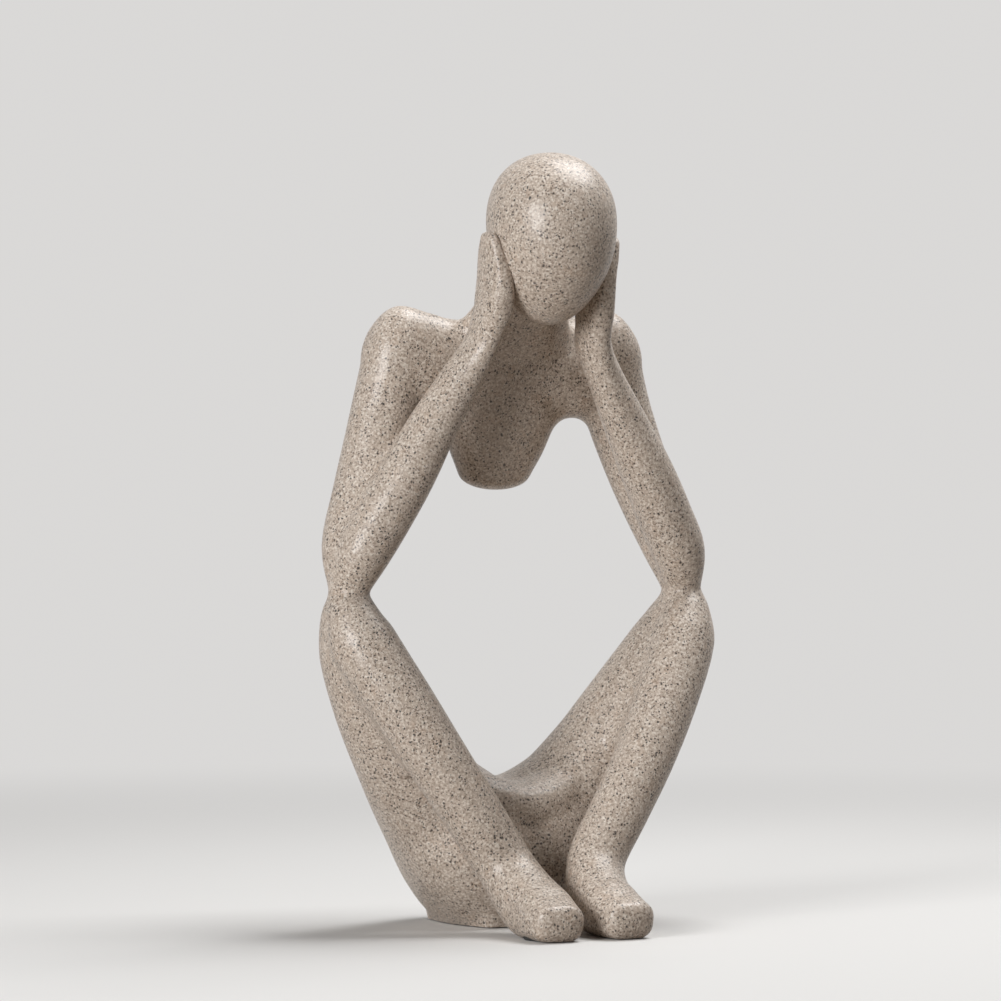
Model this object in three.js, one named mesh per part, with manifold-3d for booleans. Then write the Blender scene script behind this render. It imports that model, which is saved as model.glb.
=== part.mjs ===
// A seated thinking figure, cast in speckled sandstone resin and about 260 mm tall.
// A smooth egg of a head rests between two flat hands, the elbows stand on the knees, the torso hangs
// free as a short tongue, and the thighs meet in a low seat behind two bare feet.
// The figure is cast in seven sections that meet on thin glue lines and are pinned with steel dowels.
// Millimetres, +Z up, the figure faces -Y, its right hand is on -X, and the origin is on the floor
// under the middle of its box.

import * as THREE from 'three';
import { mergeVertices } from 'three/addons/utils/BufferGeometryUtils.js';
import loadManifold from 'manifold-3d';

const wasm = await loadManifold();
wasm.setup();

// Sides of the figure, as the sign of X
const RIGHT = -1;
const LEFT = 1;
const SIDES = [RIGHT, LEFT];

// Overall
const HEIGHT = 260;

// Head, an egg with its narrow end at the chin
const HEAD_WIDTH = 42.5;
const HEAD_DEPTH = 48;
const CROWN_RISE = 23.8;
const CHIN_DROP = 33.5;
const HEAD_FORWARD = 17.2;
const HEAD_TILT = 6;
const CROWN_FULLNESS = 2.15;
const CHIN_TAPER = 0.1;
const CROWN_BOW = 2.2;
const CHIN_BOW = 4;

// The waist where each elbow stands on a knee
const ELBOW_OUT = 62.8;
const ELBOW_BACK = 8;
const ELBOW_UP = 113;
const ELBOW_WIDE = 12.6;
const ELBOW_DEEP = 13.6;

// Upper arms and shoulders
const UPPER_ARM_WIDE = 22.5;
const UPPER_ARM_DEEP = 22;
const UPPER_ARM_BOW_OUT = 2.5;
const UPPER_ARM_BOW_BACK = 3;
const SHOULDER_OUT = 39.5;
const SHOULDER_BACK = 19.5;
const SHOULDER_TOP = 210;
const SHOULDER_TALL = 32;
const SHOULDER_DEEP = 24;
const SHOULDER_ROUND = 12;

// Chest, neck and the torso that hangs below
const COLLAR_TOP = 204.5;
const ARMPIT_UP = 176;
const COLLAR_SAG = 2.5;
const CHEST_BACK = 19.5;
const CHEST_DEEP = 26;
const TORSO_WIDE = 47;
const TORSO_TIP_UP = 147.5;
const TORSO_TIP_BACK = 26.5;
const TORSO_TIP_ROUND = 6;
const NECK_WIDE = 23;
const NECK_DEEP = 18;

// Forearms and hands
const FOREARM_WIDE = 18.8;
const FOREARM_DEEP = 20;
const FOREARM_BOW_OUT = 3;
const FOREARM_BOW_BACK = 2;
const FOREARM_ROLL = 18;
const WRIST_OUT = 21;
const WRIST_BELOW_HEAD = 40;
const WRIST_BEHIND_HEAD = 10.2;
const FINGERS_OUT = 22.6;
const FINGERS_BEHIND_HEAD = 0.4;
const HAND_LONG = 34.3;
const HAND_BOW_IN = 2.8;
const HAND_BOW_FRONT = 1.4;
const HAND_WIDE = 15;
const FINGER_THICK = 5.5;
const FINGER_ROUND = 2.5;

// Thighs and seat
const THIGH_WIDE = 35;
const THIGH_DEEP = 33;
const THIGH_BOW_OUT = 6.5;
const THIGH_BOW_BACK = 1.5;
const HIP_OUT = 13;
const HIP_BACK = 23;
const HIP_UP = 27.2;
const SEAT_TOP = 49.5;
const SEAT_TALL = 57.5;
const SEAT_BACK = 52.5;
const SEAT_DEEP = 56;
const SEAT_BEYOND_UP = 17.5;
const SEAT_SQUARE = 2.4;
const PELVIS_TALL = 75;
const PELVIS_DEEP = 46;
const PELVIS_BACK = 22.5;

// Shins and feet
const SHIN_WIDE = 21.5;
const SHIN_DEEP = 21.5;
const SHIN_BOW_OUT = 5;
const SHIN_BOW_BACK = 2;
const ANKLE_OUT = 14;
const ANKLE_FORWARD = 19;
const ANKLE_UP = 18;
const TOE_OUT = 13.1;
const TOE_FRONT = 52.5;
const TOE_UP = 6;
const TOE_ROUND = 3.5;
const FOOT_TALL = 13.5;
const FOOT_WIDE = 20.5;
const INSTEP_SAG = 4;
const INSTEP_IN = 1;

// Joints between the castings
const GLUE_LINE = 0.3;
const SHOULDER_JOINT_OUT = 27;
const HIP_JOINT_OUT = 16;
const DOWEL_FIT = 0.15;
const DOWEL_CHAMFER = 0.6;
const NECK_DOWEL = { diameter: 6, length: 26 };
const SHOULDER_DOWEL = { diameter: 6, length: 24 };
const ELBOW_DOWEL = { diameter: 5, length: 28 };
const HIP_DOWEL = { diameter: 6, length: 22 };
const HIP_DOWELS_APART = 18;

// Rubber pads, set into shallow recesses under the seat and the feet
const PAD_THICK = 1.5;
const PAD_PROUD = 0.4;
const PAD_INSET = 4.5;

// Smoothness of the sculpted forms
const LIMB_SIDES = 18;
const RINGS_PER_SPAN = 2;
const DOME_RINGS = 5;
const HEAD_SIDES = 32;
const HEAD_RINGS = 18;
const DOWEL_SIDES = 16;
const PAD_SIDES = 18;

// How each limb swells and bows: shares of the way along it, of its full width, of its full depth,
// of its bow out and of its bow back, and how square its section is (2 is an ellipse)
const UPPER_ARM_SHAPE = [
  [0.18, 0.86, 0.86, 0.8, 0.5],
  [0.4, 0.95, 0.95, 0.2, 0.9],
  [0.6, 1, 1, -0.25, 1],
  [0.8, 1.04, 1, -0.4, 0.8],
];
const YOKE_SHAPE = [
  [0, 1, 1],
  [0.25, 1.11, 1.02, 1.3],
  [0.5, 0.99, 1.04, 1],
];
const FOREARM_SHAPE = [
  [0.16, 0.95, 0.92, 1.12, -1.1],
  [0.3, 1, 0.98, 1, -1],
  [0.48, 0.96, 1, 0.78, -0.8],
  [0.67, 0.82, 0.92, 0.55, 0],
  [0.85, 0.67, 0.82, 0.15, 0.2],
];
const HAND_SHAPE = [
  [0, 1.9, 1.15],
  [0.2, 1.75, 1.17, 0.6, 0.5, 2.3],
  [0.39, 1.82, 1.27, 1, 1, 2.7],
  [0.66, 1.45, 1.2, 0.9, 0.6, 2.8],
  [0.86, 1.09, 0.95, 0.35, 0.2, 2.6],
  [1, 0.8, 0.67, 0, 0, 2.4],
];
const TORSO_SHAPE = [
  [0, 0.9, 1],
  [0.42, 1, 1],
  [0.57, 0.86, 0.97],
  [0.8, 0.73, 0.85],
  [1, 0.575, 0.66],
];
const NECK_SHAPE = [
  [0, 2.1, 1.2],
  [0.2, 1.9, 1.1],
  [0.37, 1.55, 1],
  [0.55, 1.15, 1],
  [0.8, 1.05, 1],
];
const THIGH_SHAPE = [
  [0.083, 0.52, 0.62, 0.55, 0],
  [0.214, 0.73, 0.8, 0.97, 0],
  [0.417, 0.92, 0.92, 1.1, -0.6],
  [0.643, 1.05, 1.05, 1, -1],
  [0.845, 1.13, 1.25, 0.65, 0, 2.2],
  [1, 1.34, 1.62, 0, -1, 2.5],
];
const SHIN_SHAPE = [
  [0.08, 0.8, 0.82, 0.7, -0.5],
  [0.17, 1, 1.05, 1.1, -0.65],
  [0.39, 1.02, 1.02, 1.05, -1.6],
  [0.6, 0.97, 0.96, 0.8, -1.5],
  [0.78, 0.92, 0.92, 0.4, -0.6],
  [0.95, 0.86, 0.92, 0.1, 0.5],
];
const FOOT_SHAPE = [
  [0.28, 1.6, 0.98, 0.7, 0.87, 2.3],
  [0.58, 1.38, 0.97, 1, 0.61, 2.5],
  [0.8, 1.13, 0.94, 0.5, 0.35, 2.6],
  [1, 0.96, 0.85, 0, 0, 2.8],
];

const sandstone = new THREE.MeshStandardMaterial({ color: 0xbcab94, roughness: 0.5, metalness: 0 });
const steel = new THREE.MeshStandardMaterial({ color: 0x9a9c9e, roughness: 0.35, metalness: 1 });
const rubber = new THREE.MeshStandardMaterial({ color: 0x2c2927, roughness: 0.95, metalness: 0 });

const ACROSS = new THREE.Vector3(1, 0, 0);
const BACK = new THREE.Vector3(0, 1, 0);
const UP = new THREE.Vector3(0, 0, 1);
const STRAIGHT = new THREE.Vector3();

/** One section of a limb: its centre, its full sizes on its two axes, its turn in degrees, its squareness. */
function section(at, wide, deep, roll = 0, square = 2) {
  return { at: at.clone(), wide, deep, roll: THREE.MathUtils.degToRad(roll), square };
}

/** The sections between two landmarks, off the straight line by shares of two bows, as its rows say. */
function limb(from, to, rows, wide, deep, bowOut = STRAIGHT, bowBack = STRAIGHT, roll = 0) {
  return rows.map(([share, wideShare, deepShare, outShare = 0, backShare = 0, square = 2]) => {
    const at = from.clone().lerp(to, share);
    at.addScaledVector(bowOut, outShare).addScaledVector(bowBack, backShare);
    return section(at, wide * wideShare, deep * deepShare, roll, square);
  });
}

/** A closed loft of oval sections on a smooth spine, grown on every side. Deep follows `reference`. */
function loft(sections, reference, { startDome = 0, endDome = 0, grow = 0 } = {}) {
  const spine = new THREE.CatmullRomCurve3(sections.map((s) => s.at));
  const sizes = new THREE.CatmullRomCurve3(sections.map((s) => new THREE.Vector3(s.wide, s.deep, s.roll)));
  sizes.curveType = 'catmullrom';
  const squares = new THREE.CatmullRomCurve3(sections.map((s) => new THREE.Vector3(s.square, 0, 0)));
  squares.curveType = 'catmullrom';
  const ringAt = (share, shrink, shift) => {
    const along = spine.getTangent(share);
    const size = sizes.getPoint(share);
    const deepAxis = reference.clone().addScaledVector(along, -reference.dot(along)).normalize();
    deepAxis.applyAxisAngle(along, size.z);
    const wideAxis = deepAxis.clone().cross(along);
    const centre = spine.getPoint(share).addScaledVector(along, shift);
    const wide = (size.x / 2) * shrink + grow;
    const deep = (size.y / 2) * shrink + grow;
    return { centre, wideAxis, deepAxis, wide, deep, square: squares.getPoint(share).x };
  };
  const dome = (share, length, step) => {
    const angle = (step / DOME_RINGS) * (Math.PI / 2);
    return ringAt(share, Math.cos(angle), length * Math.sin(angle));
  };
  const rings = [];
  const spans = (sections.length - 1) * RINGS_PER_SPAN;
  const startRings = startDome > 0 ? DOME_RINGS - 1 : 0;
  const endRings = endDome > 0 ? DOME_RINGS - 1 : 0;
  for (let step = startRings; step >= 1; step -= 1) rings.push(dome(0, -startDome, step));
  for (let i = 0; i <= spans; i += 1) rings.push(ringAt(i / spans, 1, 0));
  for (let step = 1; step <= endRings; step += 1) rings.push(dome(1, endDome, step));
  const first = ringAt(0, 1, -startDome - grow).centre;
  const last = ringAt(1, 1, endDome + grow).centre;
  return solid(skin(rings, first, last));
}

/** A sine or cosine on a rounded square, which is a circle where `square` is 2. */
function squared(value, square) {
  return Math.sign(value) * Math.abs(value) ** (2 / square);
}

/** The closed mesh over a row of oval rings and the two points that close its ends. */
function skin(rings, first, last) {
  const positions = [];
  const index = [];
  for (const ring of rings) {
    for (let side = 0; side < LIMB_SIDES; side += 1) {
      const angle = (side / LIMB_SIDES) * Math.PI * 2;
      const point = ring.centre.clone();
      point.addScaledVector(ring.wideAxis, ring.wide * squared(Math.cos(angle), ring.square));
      point.addScaledVector(ring.deepAxis, ring.deep * squared(Math.sin(angle), ring.square));
      positions.push(point.x, point.y, point.z);
    }
  }
  const firstIndex = rings.length * LIMB_SIDES;
  const lastIndex = firstIndex + 1;
  positions.push(first.x, first.y, first.z, last.x, last.y, last.z);
  const lastRing = (rings.length - 1) * LIMB_SIDES;
  for (let side = 0; side < LIMB_SIDES; side += 1) {
    const next = (side + 1) % LIMB_SIDES;
    for (let base = 0; base < lastRing; base += LIMB_SIDES) {
      index.push(base + side, base + next, base + LIMB_SIDES + next);
      index.push(base + side, base + LIMB_SIDES + next, base + LIMB_SIDES + side);
    }
    index.push(firstIndex, next, side);
    index.push(lastIndex, lastRing + side, lastRing + next);
  }
  const geometry = new THREE.BufferGeometry();
  geometry.setAttribute('position', new THREE.Float32BufferAttribute(positions, 3));
  geometry.setIndex(index);
  return geometry;
}

/** A geometry as a solid that can be joined and cut. */
function solid(geometry) {
  const bare = geometry.clone();
  bare.deleteAttribute('normal');
  bare.deleteAttribute('uv');
  const merged = mergeVertices(bare, 1e-4);
  const vertProperties = Float32Array.from(merged.attributes.position.array);
  const triVerts = Uint32Array.from(merged.index.array);
  return new wasm.Manifold(new wasm.Mesh({ numProp: 3, vertProperties, triVerts }));
}

/** A named mesh of the assembly from a finished solid. */
function piece(name, shape, material) {
  const { vertProperties, triVerts } = shape.getMesh();
  const geometry = new THREE.BufferGeometry();
  geometry.setAttribute('position', new THREE.BufferAttribute(vertProperties, 3));
  geometry.setIndex(new THREE.BufferAttribute(triVerts, 1));
  geometry.computeVertexNormals();
  const mesh = new THREE.Mesh(geometry, material);
  mesh.name = name;
  return mesh;
}

/** A box between two corners, as a cutting tool. */
function block(low, high) {
  const size = high.clone().sub(low);
  const box = new THREE.BoxGeometry(size.x, size.y, size.z);
  box.translate((low.x + high.x) / 2, (low.y + high.y) / 2, (low.z + high.z) / 2);
  return solid(box);
}

// A reach beyond every part of the figure, for the cutting tools
const REACH = HEIGHT * 2;

// What two halves share where they are joined into one casting
const OVERLAP = 0.01;

/** Everything between two heights. */
function slab(low, high) {
  return block(new THREE.Vector3(-REACH, -REACH, low), new THREE.Vector3(REACH, REACH, high));
}

/** Everything from one distance on X to another. */
function stretch(from, to) {
  const low = new THREE.Vector3(Math.min(from, to), -REACH, -REACH);
  const high = new THREE.Vector3(Math.max(from, to), REACH, REACH);
  return block(low, high);
}

/** A round bar with chamfered ends about `centre`, along `direction`. */
function bar(diameter, length, chamfer, centre, direction) {
  const radius = diameter / 2;
  const half = length / 2;
  const profile = [
    new THREE.Vector2(0, -half),
    new THREE.Vector2(radius - chamfer, -half),
    new THREE.Vector2(radius, -half + chamfer),
    new THREE.Vector2(radius, half - chamfer),
    new THREE.Vector2(radius - chamfer, half),
    new THREE.Vector2(0, half),
  ];
  const geometry = new THREE.LatheGeometry(profile, DOWEL_SIDES);
  geometry.applyQuaternion(new THREE.Quaternion().setFromUnitVectors(BACK, direction));
  geometry.translate(centre.x, centre.y, centre.z);
  return solid(geometry);
}

/** A dowel's pin: where it lies, its solid, and the hole that takes it. */
function pin(size, centre, direction) {
  return {
    shape: bar(size.diameter, size.length, DOWEL_CHAMFER, centre, direction),
    hole: bar(size.diameter + 2 * DOWEL_FIT, size.length + 2 * GLUE_LINE, DOWEL_CHAMFER, centre, direction),
  };
}

/** A flat oval standing on `foot`, with its long axis turned from Y by `turn`. */
function oval(wide, long, low, high, foot, turn) {
  const outline = new THREE.Shape();
  outline.absellipse(0, 0, wide / 2, long / 2, 0, Math.PI * 2);
  const geometry = new THREE.ExtrudeGeometry(outline, {
    depth: high - low,
    bevelEnabled: false,
    curveSegments: PAD_SIDES,
  });
  geometry.rotateZ(turn);
  geometry.translate(foot.x, foot.y, low);
  return solid(geometry);
}

/** A rubber pad of an oval size, and the recess that takes it. */
function pad(wide, long, foot, turn) {
  const ceiling = PAD_THICK + GLUE_LINE;
  return {
    shape: oval(wide, long, 0, PAD_THICK, foot, turn),
    recess: oval(wide + 2 * GLUE_LINE, long + 2 * GLUE_LINE, -PAD_PROUD, ceiling, foot, turn),
  };
}

// Landmarks of the pose

const head = new THREE.Vector3(0, -HEAD_FORWARD, HEIGHT - CROWN_RISE);
const chest = new THREE.Vector3(0, CHEST_BACK, (COLLAR_TOP + ARMPIT_UP) / 2);
const torsoTip = new THREE.Vector3(0, TORSO_TIP_BACK, TORSO_TIP_UP + TORSO_TIP_ROUND);
const seatMiddle = new THREE.Vector3(0, SEAT_BACK - SEAT_DEEP / 2, SEAT_TOP - SEAT_TALL / 2);
const elbow = (side) => new THREE.Vector3(side * ELBOW_OUT, ELBOW_BACK, ELBOW_UP);
const shoulder = (side) =>
  new THREE.Vector3(side * SHOULDER_OUT, SHOULDER_BACK, SHOULDER_TOP - SHOULDER_TALL / 2);
const wrist = (side) =>
  new THREE.Vector3(side * WRIST_OUT, head.y + WRIST_BEHIND_HEAD, head.z - WRIST_BELOW_HEAD);
const fingers = (side) =>
  new THREE.Vector3(side * FINGERS_OUT, head.y + FINGERS_BEHIND_HEAD, wrist(side).z + HAND_LONG);
const hip = (side) => new THREE.Vector3(side * HIP_OUT, HIP_BACK, HIP_UP);
const ankle = (side) => new THREE.Vector3(side * ANKLE_OUT, -ANKLE_FORWARD, ANKLE_UP);
const toe = (side) => new THREE.Vector3(side * TOE_OUT, -TOE_FRONT + TOE_ROUND, TOE_UP);

/** Two sections that carry a limb straight through the waist at the elbow. */
function waist(side, reach) {
  const at = elbow(side);
  const beyond = at.clone().addScaledVector(UP, reach);
  return [section(beyond, ELBOW_WIDE, ELBOW_DEEP), section(at, ELBOW_WIDE, ELBOW_DEEP)];
}

/** The head's egg, grown by `grow` on every side. */
function headEgg(grow) {
  const profile = [];
  for (let ring = 0; ring <= HEAD_RINGS; ring += 1) {
    const angle = (ring / HEAD_RINGS) * Math.PI - Math.PI / 2;
    const rise = Math.sin(angle);
    const crown = (1 - Math.abs(rise) ** CROWN_FULLNESS) ** (1 / CROWN_FULLNESS);
    const chin = Math.cos(angle) * (1 - CHIN_TAPER * Math.abs(rise) ** 3);
    const radius = (HEAD_WIDTH / 2 + grow) * (rise > 0 ? crown : chin);
    const height = rise > 0 ? CROWN_RISE : CHIN_DROP;
    const onAxis = ring === 0 || ring === HEAD_RINGS;
    profile.push(new THREE.Vector2(onAxis ? 0 : radius, rise * (height + grow)));
  }
  const egg = new THREE.LatheGeometry(profile, HEAD_SIDES);
  egg.scale(1, 1, (HEAD_DEPTH + 2 * grow) / (HEAD_WIDTH + 2 * grow));
  const points = egg.attributes.position;
  for (let i = 0; i < points.count; i += 1) {
    const rise = points.getY(i);
    const share = rise / ((rise > 0 ? CROWN_RISE : CHIN_DROP) + grow);
    points.setZ(i, points.getZ(i) - (rise > 0 ? CROWN_BOW : CHIN_BOW) * share ** 2);
  }
  egg.rotateX(Math.PI / 2 - THREE.MathUtils.degToRad(HEAD_TILT));
  egg.translate(head.x, head.y, head.z);
  return solid(egg);
}

/** An upper arm, from the elbow up to the round of the shoulder. */
function upperArm(side) {
  const out = ACROSS.clone().multiplyScalar(side * UPPER_ARM_BOW_OUT);
  const back = BACK.clone().multiplyScalar(UPPER_ARM_BOW_BACK);
  const sections = [
    ...waist(side, -ELBOW_DEEP / 2),
    ...limb(elbow(side), shoulder(side), UPPER_ARM_SHAPE, UPPER_ARM_WIDE, UPPER_ARM_DEEP, out, back),
    section(shoulder(side), UPPER_ARM_WIDE, SHOULDER_DEEP),
  ];
  return loft(sections, BACK, { endDome: SHOULDER_TALL / 2 });
}

/** The chest and shoulders, from one shoulder across to the other. */
function yoke() {
  const sag = UP.clone().multiplyScalar(-COLLAR_SAG);
  const half = (side) => limb(shoulder(side), chest, YOKE_SHAPE, SHOULDER_TALL, SHOULDER_DEEP, sag);
  const middle = section(chest, COLLAR_TOP - ARMPIT_UP, CHEST_DEEP);
  const sections = [...half(RIGHT), middle, ...half(LEFT).reverse()];
  return loft(sections, BACK, { startDome: SHOULDER_ROUND, endDome: SHOULDER_ROUND });
}

/** A forearm and its flat hand, from the elbow to the finger tips. */
function forearm(side, grow = 0) {
  const out = ACROSS.clone().multiplyScalar(side * FOREARM_BOW_OUT);
  const back = BACK.clone().multiplyScalar(FOREARM_BOW_BACK);
  const inward = ACROSS.clone().multiplyScalar(-side * HAND_BOW_IN);
  const front = BACK.clone().multiplyScalar(-HAND_BOW_FRONT);
  const roll = -side * FOREARM_ROLL;
  const sections = [
    ...waist(side, -ELBOW_DEEP / 2),
    ...limb(elbow(side), wrist(side), FOREARM_SHAPE, FOREARM_WIDE, FOREARM_DEEP, out, back, roll),
    ...limb(wrist(side), fingers(side), HAND_SHAPE, FINGER_THICK, HAND_WIDE, inward, front),
  ];
  return loft(sections, BACK, { endDome: FINGER_ROUND, grow });
}

/** The free-hanging torso, from the chest down to its rounded tip. */
function torsoTongue() {
  const sections = limb(chest, torsoTip, TORSO_SHAPE, TORSO_WIDE, CHEST_DEEP);
  return loft(sections, BACK, { endDome: TORSO_TIP_ROUND });
}

/** The neck, from the chest forward and up into the head. */
function neck() {
  return loft(limb(chest, head, NECK_SHAPE, NECK_WIDE, NECK_DEEP), BACK);
}

/** A thigh and its half of the seat, from the knee to the middle of the figure. */
function thigh(side) {
  const out = ACROSS.clone().multiplyScalar(side * THIGH_BOW_OUT);
  const back = BACK.clone().multiplyScalar(THIGH_BOW_BACK);
  const beyond = seatMiddle.clone().addScaledVector(ACROSS, -side * HIP_OUT).setZ(SEAT_BEYOND_UP);
  const sections = [
    ...waist(side, ELBOW_DEEP / 2),
    ...limb(elbow(side), hip(side), THIGH_SHAPE, THIGH_WIDE, THIGH_DEEP, out, back),
    section(seatMiddle, SEAT_TALL, SEAT_DEEP, 0, SEAT_SQUARE),
    section(beyond, SEAT_TALL, SEAT_DEEP, 0, SEAT_SQUARE),
  ];
  return loft(sections, BACK).intersect(stretch(-side * OVERLAP, side * REACH));
}

/** The saddle of the pelvis, from one hip across to the other. */
function pelvis() {
  const end = (side) => new THREE.Vector3(side * HIP_JOINT_OUT, PELVIS_BACK, seatMiddle.z);
  const sections = [
    section(end(RIGHT), PELVIS_TALL, PELVIS_DEEP),
    section(seatMiddle, SEAT_TALL, SEAT_DEEP, 0, SEAT_SQUARE),
    section(end(LEFT), PELVIS_TALL, PELVIS_DEEP),
  ];
  return loft(sections, BACK);
}

/** A shin and its foot, from the knee down to the toes. */
function shin(side, grow = 0) {
  const out = ACROSS.clone().multiplyScalar(side * SHIN_BOW_OUT);
  const back = BACK.clone().multiplyScalar(SHIN_BOW_BACK);
  const sag = UP.clone().multiplyScalar(-INSTEP_SAG);
  const inward = ACROSS.clone().multiplyScalar(-side * INSTEP_IN);
  const sections = [
    ...waist(side, ELBOW_DEEP / 2),
    ...limb(elbow(side), ankle(side), SHIN_SHAPE, SHIN_DEEP, SHIN_WIDE, out, back),
    ...limb(ankle(side), toe(side), FOOT_SHAPE, FOOT_TALL, FOOT_WIDE, inward, sag),
  ];
  return loft(sections, ACROSS, { endDome: TOE_ROUND, grow });
}

// Pins and pads

/** The point where the line from the head to the chest leaves the head's egg. */
function nape() {
  const down = chest.clone().sub(head).normalize();
  const reach = 1 / Math.hypot(down.y / (HEAD_DEPTH / 2), down.z / CHIN_DROP);
  return head.clone().addScaledVector(down, reach);
}

/** A point on the line between two landmarks, at a distance out on X. */
function across(from, to, out) {
  return from.clone().lerp(to, (out - from.x) / (to.x - from.x));
}

const neckPin = pin(NECK_DOWEL, nape(), head.clone().sub(chest).normalize());
const elbowPin = (side) => pin(ELBOW_DOWEL, elbow(side), UP);
const shoulderPin = (side) =>
  pin(SHOULDER_DOWEL, across(chest, shoulder(side), side * SHOULDER_JOINT_OUT), ACROSS);
const hipPin = (side, shift) => {
  const centre = across(seatMiddle, hip(side), side * HIP_JOINT_OUT);
  return pin(HIP_DOWEL, centre.addScaledVector(BACK, shift), ACROSS);
};
const HIP_PINS = { front: -HIP_DOWELS_APART / 2, rear: HIP_DOWELS_APART / 2 };

const seatPad = pad(2 * (HIP_JOINT_OUT - PAD_INSET), SEAT_DEEP / 2, seatMiddle, 0);
const footPad = (side) => {
  const sole = ankle(side).lerp(toe(side), 0.62);
  const run = toe(side).sub(ankle(side));
  return pad(FOOT_WIDE - 2 * PAD_INSET, Math.hypot(run.x, run.y) / 2, sole, Math.atan2(-run.x, run.y));
};

// Castings

const aboveElbow = slab(ELBOW_UP + GLUE_LINE / 2, REACH);
const belowElbow = slab(PAD_PROUD, ELBOW_UP - GLUE_LINE / 2);
const headRoom = headEgg(GLUE_LINE);
const yokeForm = yoke();
const thighsForm = thigh(RIGHT).add(thigh(LEFT)).add(pelvis());

/** A casting with the holes of its pins and the recesses of its pads cut out. */
function drilled(shape, cuts) {
  return cuts.reduce((left, cut) => left.subtract(cut), shape);
}

function headCasting() {
  return drilled(headEgg(0), [neckPin.hole]);
}

function armCasting(side) {
  const outside = stretch(side * (SHOULDER_JOINT_OUT + GLUE_LINE / 2), side * REACH);
  const form = yokeForm.add(upperArm(side)).intersect(outside).add(forearm(side)).intersect(aboveElbow);
  return drilled(form, [headRoom, shoulderPin(side).hole, elbowPin(side).hole]);
}

function torsoCasting() {
  const inner = SHOULDER_JOINT_OUT - GLUE_LINE / 2;
  const form = yokeForm.intersect(stretch(-inner, inner)).add(torsoTongue()).add(neck());
  const holes = SIDES.flatMap((side) => [shoulderPin(side).hole, forearm(side, GLUE_LINE)]);
  return drilled(form, [headRoom, neckPin.hole, ...holes]);
}

function seatCasting() {
  const inner = HIP_JOINT_OUT - GLUE_LINE / 2;
  const form = thighsForm.intersect(stretch(-inner, inner)).intersect(belowElbow);
  const holes = SIDES.flatMap((side) => [
    shin(side, GLUE_LINE),
    ...Object.values(HIP_PINS).map((shift) => hipPin(side, shift).hole),
  ]);
  return drilled(form, [seatPad.recess, ...holes]);
}

function legCasting(side) {
  const outside = stretch(side * (HIP_JOINT_OUT + GLUE_LINE / 2), side * REACH);
  const form = thighsForm.intersect(outside).add(shin(side)).intersect(belowElbow);
  const holes = Object.values(HIP_PINS).map((shift) => hipPin(side, shift).hole);
  return drilled(form, [elbowPin(side).hole, footPad(side).recess, ...holes]);
}

const figure = new THREE.Group();
figure.add(piece('head', headCasting(), sandstone));
figure.add(piece('torso', torsoCasting(), sandstone));
figure.add(piece('seat', seatCasting(), sandstone));
figure.add(piece('neck_dowel', neckPin.shape, steel));
figure.add(piece('seat_pad', seatPad.shape, rubber));
for (const side of SIDES) {
  const name = side === RIGHT ? 'right' : 'left';
  figure.add(piece(`${name}_arm`, armCasting(side), sandstone));
  figure.add(piece(`${name}_leg`, legCasting(side), sandstone));
  figure.add(piece(`${name}_shoulder_dowel`, shoulderPin(side).shape, steel));
  figure.add(piece(`${name}_elbow_dowel`, elbowPin(side).shape, steel));
  for (const [place, shift] of Object.entries(HIP_PINS)) {
    figure.add(piece(`${name}_hip_${place}_dowel`, hipPin(side, shift).shape, steel));
  }
  figure.add(piece(`${name}_foot_pad`, footPad(side).shape, rubber));
}

export default figure;
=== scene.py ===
"""Looks for a seated thinking figure, cast in speckled sandstone resin.

The limbs are lofted, melted into one smooth skin with soft fillets, and cut again on the glue lines of the
castings. Sizes are in millimetres until a mesh is finished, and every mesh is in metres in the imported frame.
"""

from __future__ import annotations

import logging
import math
from collections.abc import Iterable
from dataclasses import dataclass
from enum import Enum
from typing import Any

import bmesh
import bpy
from bmesh.types import BMEdge, BMesh, BMFace, BMVert
from bpy.types import Material, Mesh, Node, NodeSocket, Object, World
from mathutils import Matrix, Vector


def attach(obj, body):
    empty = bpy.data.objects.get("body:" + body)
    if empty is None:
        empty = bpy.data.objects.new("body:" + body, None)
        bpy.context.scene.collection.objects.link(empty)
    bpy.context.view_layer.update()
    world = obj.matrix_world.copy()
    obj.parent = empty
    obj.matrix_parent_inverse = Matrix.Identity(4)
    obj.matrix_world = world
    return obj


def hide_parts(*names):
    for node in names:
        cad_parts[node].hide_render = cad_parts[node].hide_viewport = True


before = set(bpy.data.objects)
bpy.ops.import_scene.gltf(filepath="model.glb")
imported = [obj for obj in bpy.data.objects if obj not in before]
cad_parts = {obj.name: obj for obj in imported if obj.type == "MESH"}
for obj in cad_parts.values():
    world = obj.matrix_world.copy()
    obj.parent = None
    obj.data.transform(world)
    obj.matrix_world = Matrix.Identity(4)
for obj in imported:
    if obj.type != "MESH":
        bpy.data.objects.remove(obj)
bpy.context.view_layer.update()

LOG = logging.getLogger("thinking_figure")
MM = 0.001
ACROSS = Vector((1.0, 0.0, 0.0))
BACK = Vector((0.0, 1.0, 0.0))
UP = Vector((0.0, 0.0, 1.0))
STRAIGHT = Vector((0.0, 0.0, 0.0))
TINY = 1e-6
WELD = 1e-7
SPINE_STEP = 0.0005
SPINE_KNOTS = 0.5
EVEN_KNOTS = 0.0
RING_SIDES = 40
RINGS_PER_SPAN = 4
DOME_RINGS = 6
BORE_SIDES = 32
OVAL_SIDES = 64
EDGE_STEPS = 3
EGG_SUBDIVISIONS = 6
SHARP_EDGE = math.radians(50.0)
SEAM_OUT = 60.0
SEAM_BACK = 80.0
LEVEL_REACH = 90.0
MIDDLE_REACH = 8.0
ELBOW_SECTIONS = 5
KNEE_SECTIONS = 6

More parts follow.
